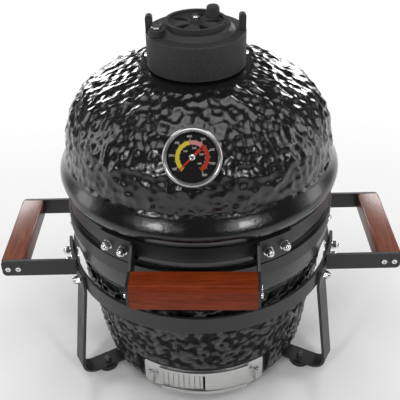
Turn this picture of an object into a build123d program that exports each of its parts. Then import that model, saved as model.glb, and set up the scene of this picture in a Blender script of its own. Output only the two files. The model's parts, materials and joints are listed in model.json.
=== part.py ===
from build123d import *
import os
from math import asin, ceil, cos, degrees, exp, radians, sin, sqrt

# Table-top kamado grill: a ceramic pot and domed lid held by steel bands, on a three-legged ring stand.
# Millimetres, +Z up, origin on the table under the middle of the pot, front of the grill towards -Y.
# Azimuths are degrees round the pot's axis, 0 at the front and positive towards +X.

os.makedirs("parts", exist_ok=True)

# ---------------------------------------------------------------- driving sizes
# ceramic pot
pot_bottom_z = 12.0
pot_foot_r = 143.0
pot_belly_r = 160.0
pot_neck_r = 173.0
pot_collar_r = 178.0
pot_collar_low_z = 216.0
pot_top_z = 264.0
pot_wall = 20.0
pot_floor = 13.0
# ceramic lid
lid_r = 172.5
lid_bulge = 12.0
bulge_z = 316.0
bulge_width = 17.7
dome_start_z = 340.0
dome_h = 112.0
dome_power = 2.6
lid_lip_r = 176.5
lid_wall = 20.0
chimney_r = 54.0
chimney_bore_r = 41.0
gasket_t = 1.6
seal_gap = 0.3
# bands round pot and lid
band_w = 20.0
pot_band_z = 243.5
pot_band_t = 2.4
lid_band_w = 21.5
lid_band_z = 278.2
lid_band_t = 2.0
band_split = 4.0
# the lid is mounted slightly off the draft door's centre line
lid_yaw = -2.1
# stand
stand_r = 179.4
strap_t = 4.0
stand_z = 167.3
stand_h = 25.4
leg_w = 25.0
leg_foot_r = 209.0
leg_toe_r = 128.0
leg_bend_r = 18.0
leg_azimuths = {"left": -61.5, "right": 61.5, "rear": 180.0}
foot_r = 15.0
foot_bolt_r = 165.0
foot_screw_r = 2.5
# side handles
grip_half_len = 70.3
grip_in_x = 240.2
grip_w = 31.8
grip_h = 25.3
grip_z = 175.0
side_tab_end_y = 20.0
# front handle
front_grip_half = 72.0
front_grip_y = -231.5
front_grip_d = 29.0
front_grip_z = 255.0
front_grip_h = 31.8
grip_chamfer = 4.3
grip_edge = 1.0
bracket_t = 3.0
bracket_flange_z = 266.5
bracket_flange_h = 33.0
bracket_flange_end = 39.0
front_stud_leans = (28.0, 35.2)
# fasteners
grip_screw_r = 2.0
grip_screw_head_r = 4.2
grip_screw_head_h = 2.6
grip_screw_len = 24.0
grip_bore_len = 25.0
hex_r = 6.2
stud_r = 3.0
nut_flange_r = 6.2
nut_flange_t = 1.2
nut_flats = 10.0
nut_hex_h = 5.0
nut_dome_r = 4.4
nut_dome_h = 4.6
stud_reach = 8.0
hole_clearance = 0.1
bolt_head_r = 5.0
bolt_head_t = 2.0
# hinge
hinge_y = 219.0
hinge_z = 271.0
hinge_pin_r = 4.0
hinge_half = 30.0
hinge_gap = 3.0
hinge_cheek_t = 3.0
hinge_eye_r = 10.0
hinge_flange_az = 15.0
pin_clearance = 0.05
# draft door
seat_r = 145.0
seat_top_z = 72.0
seat_half_az = 37.5
frame_half_az = 35.0
frame_low_z = 13.5
frame_top_z = 56.0
frame_t = 1.2
rail_half_az = 24.0
slider_t = 1.0
slide_gap = 0.25
slider_low_z = 15.6
slider_top_z = 53.0
draft_half_az = 11.8
draft_low_z = 27.0
draft_high_z = 47.0
slider_span_az = 25.0
slider_meet_az = 0.6
hole_columns = 8
hole_rows = 7
frame_screw_az = frame_half_az - 4.2
frame_screw_z = 36.0
frame_screw_r = 2.0
# vent cap
cap_r = 60.8
cap_low_z = 452.0
cap_top_z = 493.4
cap_wall = 3.6
cap_plate = 5.5
cap_hole_r = 32.0
lug_x = 55.6
lug_y = -4.0
lug_top_z = 514.0
lug_w = 8.6
lug_t = 9.0
lug_round = 3.6
disc_r = 47.5
disc_t = 5.6
disc_taper = 42.0
pivot_x = -46.0
pivot_y = -19.0
wheel_r = 37.6
wheel_gap = 0.4
petals = 5
petal_in_r = 13.5
petal_out_r = 25.0
petal_in_round = 2.6
petal_out_round = 5.4
wheel_plate = 2.8
wheel_rim_h = 6.0
wheel_rim_w = 4.0
wheel_hub_r = 8.0
wheel_hub_sink = 0.6
knob_x = 20.9
knob_y = 17.0
knob_r = 9.0
knob_h = 17.0
ear_r = 10.0
ear_h = 2.2
head_gap = 0.3
# thermometer
gauge_r = 32.7
gauge_dial_r = 27.3
gauge_dome_r = 154.3
stem_r = 3.0
stem_len = 95.0
# grates and fire box
fire_gap = 5.0
fire_wall = 14.0
fire_ring_h = 44.0
grate_rod_r = 2.5


# ---------------------------------------------------------------- shared shapes
def radial(azimuth, r, z):
    """Plane on a cylinder round the pot's axis: x along the wall, y up, normal outwards."""
    a = radians(azimuth)
    return Plane(origin=(r * sin(a), -r * cos(a), z), x_dir=(cos(a), sin(a), 0), z_dir=(sin(a), -cos(a), 0))


def level(azimuth, r, z):
    """Plane lying flat at a place round the pot's axis, x along the wall, normal up."""
    a = radians(azimuth)
    return Plane(origin=(r * sin(a), -r * cos(a), z), x_dir=(cos(a), sin(a), 0), z_dir=(0, 0, 1))


def upright(azimuth):
    """Plane through the pot's axis: x outwards at that azimuth, y up."""
    a = radians(azimuth)
    return Plane(origin=(0, 0, 0), x_dir=(sin(a), -cos(a), 0), z_dir=(-cos(a), -sin(a), 0))


def turned_y(r, x):
    """How far a point at that x lies from the X axis, on a circle of that radius."""
    return sqrt(r * r - x * x)


def sector(r_in, r_out, from_az, to_az):
    """Ring sector between two azimuths, as a sketch to add."""
    mid = (from_az + to_az) / 2
    inner = [(r_in * sin(radians(a)), -r_in * cos(radians(a))) for a in (from_az, mid, to_az)]
    outer = [(r_out * sin(radians(a)), -r_out * cos(radians(a))) for a in (to_az, mid, from_az)]
    with BuildSketch() as shape:
        with BuildLine():
            ThreePointArc(*inner)
            Line(inner[2], outer[0])
            ThreePointArc(*outer)
            Line(outer[2], inner[0])
        make_face()
    return shape.sketch


def lid_outside(z):
    """Radius of the straight part of the lid's outside, where the rolled bulge stands on it."""
    return lid_r + lid_bulge * exp(-(((z - bulge_z) / bulge_width) ** 2))


def dome_points(r, h, from_r, steps):
    """Points of a rounded-square dome from its rim inwards, until it reaches from_r."""
    last = (1 - (from_r / r) ** dome_power) ** (1 / dome_power)
    points = []
    for step in range(1, steps + 1):
        up = last * sin(radians(90 * step / steps))
        points.append((r * (1 - up**dome_power) ** (1 / dome_power), dome_start_z + h * up))
    return points


with BuildPart() as acorn_nut:
    with BuildSketch(Plane.XY):
        Circle(nut_flange_r)
    extrude(amount=nut_flange_t)
    with BuildSketch(Plane.XY.offset(nut_flange_t)):
        RegularPolygon(nut_flats / 2, 6, major_radius=False)
    extrude(amount=nut_hex_h)
    with BuildSketch(Plane.XY.offset(nut_flange_t + nut_hex_h)):
        Circle(nut_dome_r)
    extrude(amount=nut_dome_h)
    fillet(acorn_nut.faces().sort_by(Axis.Z)[-1].edges(), nut_dome_r * 0.8)
    with BuildSketch(Plane.XY):
        Circle(stud_r)
    extrude(amount=stud_reach, mode=Mode.SUBTRACT)


def studs(seats, length, head_t=0.0):
    """Threaded studs, each standing on its plane, with a flat head behind the plane where one is given."""
    with BuildPart() as group:
        for seat in seats:
            with BuildSketch(seat):
                Circle(stud_r)
            extrude(amount=length)
            if head_t:
                with BuildSketch(seat):
                    Circle(bolt_head_r)
                extrude(amount=-head_t)
    return group


def nuts(seats):
    """Dome nuts, one standing on each plane."""
    with BuildPart() as group:
        with Locations(*seats):
            add(acorn_nut.part)
    return group


def pan_screws(seats, head_r, head_h, shank_r, shank_len):
    """Cross-slot pan screws, heads standing on their planes, shanks going in."""
    with BuildPart() as group:
        for seat in seats:
            with BuildSketch(seat):
                Circle(head_r)
            extrude(amount=head_h, taper=12)
            with BuildSketch(seat.offset(head_h)):
                Rectangle(head_r * 1.2, head_r * 0.28)
                Rectangle(head_r * 0.28, head_r * 1.2)
            extrude(amount=-head_h * 0.5, mode=Mode.SUBTRACT)
            with BuildSketch(seat):
                Circle(shank_r)
            extrude(amount=-shank_len)
    return group


# ---------------------------------------------------------------- ceramic pot
pot_outline = [
    (pot_foot_r - 2, pot_bottom_z),
    (pot_foot_r + 4, pot_bottom_z + 9),
    (pot_belly_r - 8.5, pot_bottom_z + 28),
    (pot_belly_r - 4.5, pot_bottom_z + 54),
    (pot_belly_r, pot_bottom_z + 90),
    (pot_neck_r - 5.5, pot_bottom_z + 136),
    (pot_neck_r, pot_collar_low_z - 10),
]

with BuildPart() as base_shell:
    with BuildSketch(Plane.XZ):
        with BuildLine():
            Polyline((0, pot_bottom_z), pot_outline[0])
            Spline(*pot_outline)
            FilletPolyline(
                pot_outline[-1],
                (pot_collar_r, pot_collar_low_z),
                (pot_collar_r, pot_top_z),
                (pot_collar_r - pot_wall, pot_top_z),
                radius=2.5,
            )
            Polyline(
                (pot_collar_r - pot_wall, pot_top_z),
                (pot_collar_r - pot_wall, pot_collar_low_z),
                (pot_neck_r - pot_wall, pot_collar_low_z - 14),
                (pot_belly_r - pot_wall, pot_bottom_z + 90),
                (pot_belly_r - pot_wall - 6, pot_bottom_z + 50),
                (pot_foot_r - pot_wall, pot_bottom_z + pot_floor),
                (0, pot_bottom_z + pot_floor),
                (0, pot_bottom_z),
            )
        make_face()
    revolve(axis=Axis.Z)
    # upright seat for the draft door, under an overhang of the belly
    with BuildSketch(Plane.XY.offset(pot_bottom_z)):
        add(sector(seat_r, pot_belly_r + 10, -seat_half_az, seat_half_az))
    extrude(amount=seat_top_z - pot_bottom_z, mode=Mode.SUBTRACT)
    # draft opening through the wall
    with BuildSketch(Plane.XY.offset(draft_low_z)):
        add(sector(seat_r - 2.5 * pot_wall, seat_r + 10, -draft_half_az, draft_half_az))
    extrude(amount=draft_high_z - draft_low_z, mode=Mode.SUBTRACT)
    # blind holes for the two frame screws
    for side in (-1, 1):
        with BuildSketch(radial(side * frame_screw_az, seat_r + 1, frame_screw_z)):
            Circle(frame_screw_r + hole_clearance)
        extrude(amount=-13, mode=Mode.SUBTRACT)
base_shell.part.label = "base_shell"
export_step(base_shell.part, "parts/base_shell.step")

# felt seal on the pot's rim, and its twin under the lid
seal_out_r = pot_collar_r - 3
seal_in_r = pot_collar_r - pot_wall + 3
for node, low in (("base_gasket", pot_top_z), ("lid_gasket", pot_top_z + gasket_t + seal_gap)):
    with BuildPart() as seal:
        with BuildSketch(Plane.XY.offset(low)):
            Circle(seal_out_r)
            Circle(seal_in_r, mode=Mode.SUBTRACT)
        extrude(amount=gasket_t)
    seal.part.label = node
    export_step(seal.part, f"parts/{node}.step")
lid_low_z = pot_top_z + 2 * gasket_t + seal_gap

# ---------------------------------------------------------------- fire box, ring and grates
fire_low_z = pot_bottom_z + pot_floor
fire_top_z = pot_collar_low_z - 26
fire_r = pot_neck_r - pot_wall - fire_gap
fire_low_r = pot_foot_r - pot_wall - fire_gap
fire_step_z = 78.0
charcoal_r = 96.0

with BuildPart() as fire_box:
    with BuildSketch(Plane.XZ):
        with BuildLine():
            Polyline(
                (fire_low_r - fire_wall, fire_low_z),
                (fire_low_r, fire_low_z),
                (pot_belly_r - pot_wall - 6 - fire_gap, pot_bottom_z + 50),
                (pot_belly_r - pot_wall - fire_gap, pot_bottom_z + 90),
                (fire_r, fire_top_z),
                (fire_r - fire_wall, fire_top_z),
                (charcoal_r + 16, fire_step_z + 22),
                (charcoal_r + 1, fire_step_z + 7),
                (charcoal_r + 1, fire_step_z),
                (charcoal_r - 9, fire_step_z),
                (charcoal_r - 9, fire_step_z - 14),
                (fire_low_r - fire_wall, fire_step_z - 14),
                close=True,
            )
        make_face()
    revolve(axis=Axis.Z)
    # ash opening facing the draft door
    with BuildSketch(Plane.XY.offset(fire_low_z)):
        add(sector(charcoal_r, fire_r + 10, -draft_half_az * 2, draft_half_az * 2))
    extrude(amount=draft_high_z + 6 - fire_low_z, mode=Mode.SUBTRACT)
fire_box.part.label = "fire_box"
export_step(fire_box.part, "parts/fire_box.step")

with BuildPart() as fire_ring:
    with BuildSketch(Plane.XY.offset(fire_top_z)):
        Circle(fire_r)
        Circle(fire_r - fire_wall, mode=Mode.SUBTRACT)
    extrude(amount=fire_ring_h)
    chamfer(fire_ring.faces().sort_by(Axis.Z)[-1].edges(), 1.5)
fire_ring.part.label = "fire_ring"
export_step(fire_ring.part, "parts/fire_ring.step")

with BuildPart() as charcoal_grate:
    with BuildSketch(Plane.XY.offset(fire_step_z)):
        Circle(charcoal_r)
        with PolarLocations(22, 6):
            SlotOverall(18, 8, mode=Mode.SUBTRACT)
        with PolarLocations(46, 12):
            SlotOverall(22, 8, mode=Mode.SUBTRACT)
        with PolarLocations(72, 18):
            SlotOverall(22, 8, mode=Mode.SUBTRACT)
    extrude(amount=6)
charcoal_grate.part.label = "charcoal_grate"
export_step(charcoal_grate.part, "parts/charcoal_grate.step")

# wire cooking grate: a hoop with straight bars let into it, lying on the fire ring
grate_r = fire_r - fire_wall / 2
grate_z = fire_top_z + fire_ring_h + grate_rod_r
with BuildPart() as cooking_grate:
    with BuildSketch(Plane.XZ):
        with Locations((grate_r, grate_z)):
            Circle(grate_rod_r)
    revolve(axis=Axis.Z)
    bar_pitch = 17.0
    bar_count = ceil(grate_r / bar_pitch)
    for place in range(1 - bar_count, bar_count):
        bar_x = place * bar_pitch
        half = turned_y(grate_r, bar_x)
        with BuildSketch(Plane(origin=(bar_x, -half, grate_z), z_dir=(0, 1, 0))):
            Circle(grate_rod_r * 0.8)
        extrude(amount=2 * half)
    with BuildSketch(Plane(origin=(-grate_r, 0, grate_z), z_dir=(1, 0, 0))):
        Circle(grate_rod_r)
    extrude(amount=2 * grate_r)
cooking_grate.part.label = "cooking_grate"
export_step(cooking_grate.part, "parts/cooking_grate.step")

# ---------------------------------------------------------------- bands
band_sizes = {
    "base_band": (pot_collar_r, pot_band_t, pot_band_z, band_w),
    "lid_band": (lid_lip_r, lid_band_t, lid_band_z, lid_band_w),
}
for node, (inner, thick, low, width) in band_sizes.items():
    with BuildPart() as band:
        with BuildSketch(Plane.XY.offset(low)):
            Circle(inner + thick)
            Circle(inner, mode=Mode.SUBTRACT)
            with Locations((0, inner)):
                Rectangle(band_split, 4 * thick, mode=Mode.SUBTRACT)
        extrude(amount=width)
    band.part.label = node
    export_step(band.part, f"parts/{node}.step")
pot_band_r = pot_collar_r + pot_band_t
lid_band_r = lid_lip_r + lid_band_t

# ---------------------------------------------------------------- stand
stand_out_r = stand_r + strap_t
bolt_z = stand_z + stand_h / 2
side_bolt_z = (grip_z + stand_z + stand_h) / 2
side_bolt_ys = (side_tab_end_y + 11, side_tab_end_y + 33)
side_bolt_leans = [lean * degrees(asin(y / stand_out_r)) for lean in (-1, 1) for y in side_bolt_ys]
side_bolt_azimuths = [side * 90 + lean for side in (-1, 1) for lean in side_bolt_leans]

with BuildPart() as stand_ring:
    with BuildSketch(Plane.XY.offset(stand_z)):
        Circle(stand_out_r)
        Circle(stand_r, mode=Mode.SUBTRACT)
    extrude(amount=stand_h)
    fillet(stand_ring.edges(), 0.8)
    for azimuth in leg_azimuths.values():
        with BuildSketch(radial(azimuth, stand_r - strap_t, bolt_z)):
            Circle(stud_r + hole_clearance)
        extrude(amount=3 * strap_t, mode=Mode.SUBTRACT)
    for azimuth in side_bolt_azimuths:
        with BuildSketch(radial(azimuth, stand_r - strap_t, side_bolt_z)):
            Circle(stud_r + hole_clearance)
        extrude(amount=3 * strap_t, mode=Mode.SUBTRACT)
stand_ring.part.label = "stand_ring"
export_step(stand_ring.part, "parts/stand_ring.step")

leg_low_z = pot_bottom_z - strap_t
foot_h = leg_low_z
for side, azimuth in leg_azimuths.items():
    with BuildPart() as leg:
        with BuildSketch(upright(azimuth)):
            with BuildLine():
                FilletPolyline(
                    (stand_out_r, stand_z + stand_h),
                    (stand_out_r, stand_z - strap_t),
                    (leg_foot_r - strap_t, pot_bottom_z),
                    (leg_toe_r, pot_bottom_z),
                    radius=leg_bend_r,
                )
                offset(amount=strap_t, side=Side.LEFT)
            make_face()
        extrude(amount=leg_w / 2, both=True)
        with BuildSketch(radial(azimuth, stand_out_r - strap_t, bolt_z)):
            Circle(stud_r + hole_clearance)
        extrude(amount=3 * strap_t, mode=Mode.SUBTRACT)
        with BuildSketch(level(azimuth, foot_bolt_r, 0)):
            Circle(foot_screw_r + hole_clearance)
        extrude(amount=pot_bottom_z + 1, mode=Mode.SUBTRACT)
    leg.part.label = f"leg_{side}"
    export_step(leg.part, f"parts/leg_{side}.step")

leg_seats = [radial(a, stand_r, bolt_z) for a in leg_azimuths.values()]
head_slack = 0.1
leg_bolts = studs([p.offset(-head_slack) for p in leg_seats], 2 * strap_t + stud_reach, bolt_head_t)
leg_bolts.part.label = "leg_bolts"
export_step(leg_bolts.part, "parts/leg_bolts.step")

leg_nuts = nuts([p.offset(2 * strap_t) for p in leg_seats])
leg_nuts.part.label = "leg_nuts"
export_step(leg_nuts.part, "parts/leg_nuts.step")

with BuildPart() as rubber_feet:
    for azimuth in leg_azimuths.values():
        with BuildSketch(level(azimuth, foot_bolt_r, foot_h)):
            Circle(foot_r)
        extrude(amount=-foot_h, taper=3)
        with BuildSketch(level(azimuth, foot_bolt_r, foot_h)):
            Circle(foot_screw_r)
        extrude(amount=-foot_h * 0.6, mode=Mode.SUBTRACT)
rubber_feet.part.label = "rubber_feet"
export_step(rubber_feet.part, "parts/rubber_feet.step")

foot_seats = [level(a, foot_bolt_r, pot_bottom_z) for a in leg_azimuths.values()]
foot_screws = pan_screws(foot_seats, 5.0, 3.0, foot_screw_r, strap_t + foot_h * 0.6)
foot_screws.part.label = "foot_screws"
export_step(foot_screws.part, "parts/foot_screws.step")

# ---------------------------------------------------------------- side handles
side_screw_xs = (grip_in_x + 9, grip_in_x + grip_w - 9)
arm_low = Plane.XY.offset(grip_z)
arm_root_x = turned_y(stand_out_r, grip_half_len) + hole_clearance
arm_end_x = grip_in_x + grip_w
tab_mid_r = stand_out_r + strap_t / 2
tab_from = degrees(asin(side_tab_end_y / tab_mid_r))
tab_to = degrees(asin((grip_half_len + strap_t / 2) / tab_mid_r))

side_screw_seats = []
for side, side_name in ((-1, "left"), (1, "right")):
    for lean, lean_name in ((-1, "front"), (1, "rear")):
        with BuildPart() as arm:
            with BuildSketch(arm_low):
                azimuths = sorted((side * (90 + lean * tab_from), side * (90 + lean * tab_to)))
                add(sector(stand_out_r, stand_out_r + strap_t, *azimuths))
                with Locations((side * (arm_root_x + arm_end_x) / 2, lean * (grip_half_len + strap_t / 2))):
                    Rectangle(arm_end_x - arm_root_x, strap_t)
            extrude(amount=grip_h)
            ends = arm.edges().filter_by(Axis.Y).sort_by(Axis.X)
            fillet(ends[-2:] if side > 0 else ends[:2], 6)
            for azimuth in side_bolt_azimuths:
                with BuildSketch(radial(azimuth, stand_out_r - strap_t, side_bolt_z)):
                    Circle(stud_r + hole_clearance)
                extrude(amount=3 * strap_t, mode=Mode.SUBTRACT)
            seats = [
                Plane(
                    origin=(side * x, lean * (grip_half_len + strap_t), grip_z + grip_h / 2),
                    x_dir=(1, 0, 0),
                    z_dir=(0, lean, 0),
                )
                for x in side_screw_xs
            ]
            for seat in seats:
                with BuildSketch(seat):
                    Circle(grip_screw_r + hole_clearance)
                extrude(amount=-2 * strap_t, mode=Mode.SUBTRACT)
        side_screw_seats += seats
        arm.part.label = f"side_arm_{side_name}_{lean_name}"
        export_step(arm.part, f"parts/side_arm_{side_name}_{lean_name}.step")

    with BuildPart() as side_grip:
        with BuildSketch(Plane.XY.offset(grip_z)):
            with Locations((side * (grip_in_x + grip_w / 2), 0)):
                Rectangle(grip_w, 2 * grip_half_len)
        extrude(amount=grip_h)
        chamfer(side_grip.edges().filter_by(Axis.Y), 2 * grip_edge)
        for x in side_screw_xs:
            with BuildSketch(Plane(origin=(side * x, -grip_half_len, grip_z + grip_h / 2), z_dir=(0, 1, 0))):
                Circle(grip_screw_r)
            extrude(amount=grip_bore_len, mode=Mode.SUBTRACT)
            with BuildSketch(Plane(origin=(side * x, grip_half_len, grip_z + grip_h / 2), z_dir=(0, -1, 0))):
                Circle(grip_screw_r)
            extrude(amount=grip_bore_len, mode=Mode.SUBTRACT)
    side_grip.part.label = f"side_grip_{side_name}"
    export_step(side_grip.part, f"parts/side_grip_{side_name}.step")

side_grip_screws = pan_screws(
    side_screw_seats, grip_screw_head_r, grip_screw_head_h, grip_screw_r, strap_t + grip_screw_len
)
side_grip_screws.part.label = "side_grip_screws"
export_step(side_grip_screws.part, "parts/side_grip_screws.step")

side_seats = [radial(a, stand_r, side_bolt_z) for a in side_bolt_azimuths]
side_arm_bolts = studs([p.offset(-head_slack) for p in side_seats], 2 * strap_t + stud_reach, bolt_head_t)
side_arm_bolts.part.label = "side_arm_bolts"
export_step(side_arm_bolts.part, "parts/side_arm_bolts.step")

side_arm_nuts = nuts([p.offset(2 * strap_t) for p in side_seats])
side_arm_nuts.part.label = "side_arm_nuts"
export_step(side_arm_nuts.part, "parts/side_arm_nuts.step")

# ---------------------------------------------------------------- draft door
frame_out_r = seat_r + frame_t
screen_r = frame_out_r + slide_gap
door_r = screen_r + slider_t + slide_gap
hook_r = door_r + slider_t + slide_gap
lip_w = 5.0
window_low_z = slider_low_z + 3.5
window_high_z = slider_top_z - 3.5

with BuildPart() as draft_frame:
    with BuildSketch(Plane.XY.offset(frame_low_z)):
        add(sector(seat_r, frame_out_r, -frame_half_az, frame_half_az))
    extrude(amount=frame_top_z - frame_low_z)
    ear_corners = draft_frame.edges().filter_by(
        lambda e: e.length < 2 * frame_t and abs(e.center().X) > seat_r * sin(radians(frame_half_az - 2))
        and abs(e.tangent_at(0.5).Z) < 0.1
    )
    fillet(ear_corners, 5)
    with BuildSketch(Plane.XY.offset(window_low_z)):
        add(sector(seat_r - 5, frame_out_r + 5, -rail_half_az + 1.5, rail_half_az - 1.5))
    extrude(amount=window_high_z - window_low_z, mode=Mode.SUBTRACT)
    # each rail is a floor and a lip that keep both sliders against the frame
    rails = (
        (frame_low_z - 0.5, slider_low_z - slide_gap, frame_low_z - 0.5),
        (slider_top_z + slide_gap, slider_top_z + slide_gap + 1.8, slider_top_z + slide_gap + 1.8 - lip_w),
    )
    for floor_z, ceiling_z, lip_z in rails:
        with BuildSketch(Plane.XY.offset(floor_z)):
            add(sector(frame_out_r - frame_t / 2, hook_r + frame_t, -rail_half_az, rail_half_az))
        extrude(amount=ceiling_z - floor_z)
        with BuildSketch(Plane.XY.offset(lip_z)):
            add(sector(hook_r, hook_r + frame_t, -rail_half_az, rail_half_az))
        extrude(amount=lip_w)
    for side in (-1, 1):
        with BuildSketch(radial(side * frame_screw_az, seat_r - 1, frame_screw_z)):
            Circle(frame_screw_r + hole_clearance)
        extrude(amount=5, mode=Mode.SUBTRACT)
draft_frame.part.label = "draft_frame"
export_step(draft_frame.part, "parts/draft_frame.step")

tab_az = 2.4
tab_out = 10.0
screen_tab_zs = (22.0, 38.0)
door_tab_zs = (24.0, 44.0)
screen_edge_az = 2.2
screen_edge_z = 3.0
screen_hole_r = 1.0
sliders = {"draft_screen": (-1, screen_r, *screen_tab_zs), "draft_door": (1, door_r, *door_tab_zs)}
for node, (side, inner, tab_low, tab_high) in sliders.items():
    with BuildPart() as slider:
        near = side * slider_meet_az
        far = near + side * slider_span_az
        with BuildSketch(Plane.XY.offset(slider_low_z)):
            add(sector(inner, inner + slider_t, *sorted((near, far))))
        extrude(amount=slider_top_z - slider_low_z)
        # the finger tab: the slider's end runs on between the rails and is bent outwards
        tab_end = far + side * tab_az
        with BuildSketch(Plane.XY.offset(tab_low)):
            add(sector(inner, inner + slider_t, *sorted((far - side, tab_end))))
        extrude(amount=tab_high - tab_low)
        with BuildSketch(radial(tab_end, inner + 0.2, (tab_low + tab_high) / 2)):
            Rectangle(slider_t, tab_high - tab_low)
        extrude(amount=tab_out)
        corners = slider.edges().filter_by(lambda e: e.length < 1.5 * slider_t)
        outermost = corners.sort_by(lambda e: e.center().X ** 2 + e.center().Y ** 2)[-2:]
        fillet(outermost, tab_out / 2)
        if node == "draft_screen":
            hole_span_az = slider_span_az - 2 * screen_edge_az
            hole_span_z = window_high_z - window_low_z - 2 * screen_edge_z
            for column in range(hole_columns):
                azimuth = side * (screen_edge_az + column * hole_span_az / (hole_columns - 1))
                for row in range(hole_rows):
                    z = window_low_z + screen_edge_z + row * hole_span_z / (hole_rows - 1)
                    with BuildSketch(radial(azimuth, inner - slider_t, z)):
                        Circle(screen_hole_r)
                    extrude(amount=3 * slider_t, mode=Mode.SUBTRACT)
    slider.part.label = node
    export_step(slider.part, f"parts/{node}.step")

frame_seats = [radial(side * frame_screw_az, frame_out_r, frame_screw_z) for side in (-1, 1)]
draft_screws = pan_screws(frame_seats, 4.6, 3.0, frame_screw_r, 12.0)
draft_screws.part.label = "draft_screws"
export_step(draft_screws.part, "parts/draft_screws.step")

# ---------------------------------------------------------------- hinge at the rear
cheek_xs = (hinge_half - hinge_cheek_t, hinge_half)
upper_xs = (hinge_half - 2 * hinge_cheek_t - hinge_gap, hinge_half - hinge_cheek_t - hinge_gap)
leaf_t = 3.0
leaves = {
    "hinge_lower": (pot_band_r, pot_band_z, band_w, cheek_xs, hinge_pin_r),
    "hinge_upper": (lid_band_r, lid_band_z, lid_band_w, upper_xs, hinge_pin_r + pin_clearance),
}
hinge_screw_azimuths = (180 - hinge_flange_az * 0.82, 180 + hinge_flange_az * 0.82)
for node, (r, low, width, xs, eye_bore) in leaves.items():
    with BuildPart() as leaf:
        with BuildSketch(Plane.XY.offset(low)):
            add(sector(r, r + leaf_t, 180 - hinge_flange_az, 180 + hinge_flange_az))
        extrude(amount=width)
        for side in (-1, 1):
            with BuildSketch(Plane(origin=(side * xs[0], 0, 0), x_dir=(0, 1, 0), z_dir=(1, 0, 0))):
                with Locations((hinge_y, hinge_z)):
                    Circle(hinge_eye_r)
                with Locations((r + leaf_t / 2 - 0.6, low + width / 2)):
                    Rectangle(leaf_t, width - 2)
                make_hull()
            extrude(amount=side * hinge_cheek_t)
        with BuildSketch(Plane(origin=(-2 * hinge_half, hinge_y, hinge_z), z_dir=(1, 0, 0))):
            Circle(eye_bore)
        extrude(amount=4 * hinge_half, mode=Mode.SUBTRACT)
        for azimuth in hinge_screw_azimuths:
            with BuildSketch(radial(azimuth, r - 5, low + width / 2)):
                Circle(stud_r + hole_clearance)
            extrude(amount=12, mode=Mode.SUBTRACT)
    leaf.part.label = node
    export_step(leaf.part, f"parts/{node}.step")

hinge_pin_head = 2.5
with BuildPart() as hinge_pin:
    with BuildSketch(Plane(origin=(-hinge_half, hinge_y, hinge_z), z_dir=(1, 0, 0))):
        Circle(hinge_pin_r)
    extrude(amount=2 * hinge_half)
    for side in (-1, 1):
        with BuildSketch(Plane(origin=(side * hinge_half, hinge_y, hinge_z), z_dir=(side, 0, 0))):
            Circle(hinge_pin_r + 2.5)
        extrude(amount=hinge_pin_head)
    fillet(hinge_pin.faces().sort_by(Axis.X)[-1].edges() + hinge_pin.faces().sort_by(Axis.X)[0].edges(), 1.2)
hinge_pin.part.label = "hinge_pin"
export_step(hinge_pin.part, "parts/hinge_pin.step")

# closely wound lid spring round the pin, as its outer tube
with BuildPart() as hinge_spring:
    with BuildSketch(Plane(origin=(-upper_xs[0], hinge_y, hinge_z), z_dir=(1, 0, 0))):
        Circle(hinge_eye_r - 1)
        Circle(hinge_pin_r + 1.5, mode=Mode.SUBTRACT)
    extrude(amount=2 * upper_xs[0])
hinge_spring.part.label = "hinge_spring"
export_step(hinge_spring.part, "parts/hinge_spring.step")

for end, r, mid_z in (
    ("lower", pot_band_r, pot_band_z + band_w / 2),
    ("upper", lid_band_r, lid_band_z + lid_band_w / 2),
):
    hinge_seats = [radial(a, r, mid_z) for a in hinge_screw_azimuths]
    hinge_studs = studs(hinge_seats, leaf_t + stud_reach)
    hinge_studs.part.label = f"hinge_studs_{end}"
    export_step(hinge_studs.part, f"parts/hinge_studs_{end}.step")
    hinge_nuts = nuts([p.offset(leaf_t) for p in hinge_seats])
    hinge_nuts.part.label = f"hinge_nuts_{end}"
    export_step(hinge_nuts.part, f"parts/hinge_nuts_{end}.step")

# ---------------------------------------------------------------- ceramic lid
lid_front = Plane(origin=(0, 0, 0), x_dir=(cos(radians(lid_yaw)), sin(radians(lid_yaw)), 0), z_dir=(0, 0, 1))
gauge_up = (1 - (gauge_dome_r / lid_r) ** dome_power) ** (1 / dome_power)
gauge_dir_r = (gauge_dome_r / lid_r) ** (dome_power - 1) / lid_r
gauge_dir_z = gauge_up ** (dome_power - 1) / dome_h
gauge_seat = Plane(
    origin=(
        gauge_dome_r * sin(radians(lid_yaw)),
        -gauge_dome_r * cos(radians(lid_yaw)),
        dome_start_z + dome_h * gauge_up,
    ),
    x_dir=lid_front.x_dir,
    z_dir=(gauge_dir_r * sin(radians(lid_yaw)), -gauge_dir_r * cos(radians(lid_yaw)), gauge_dir_z),
)

bulge_low_z = lid_band_z + lid_band_w + 2.5
cap_seat_t = 3.0
neck_top_z = cap_top_z - cap_plate - cap_seat_t
lid_outer = [(lid_outside(z), z) for z in (bulge_low_z, 308, bulge_z, 324, 332, dome_start_z)]
lid_outer += dome_points(lid_r, dome_h, chimney_r + 3, 9)
lid_in_r = lid_r - lid_wall
lid_inner = [(lid_in_r, dome_start_z)] + dome_points(lid_in_r, dome_h - lid_wall, chimney_bore_r, 7)

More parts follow.
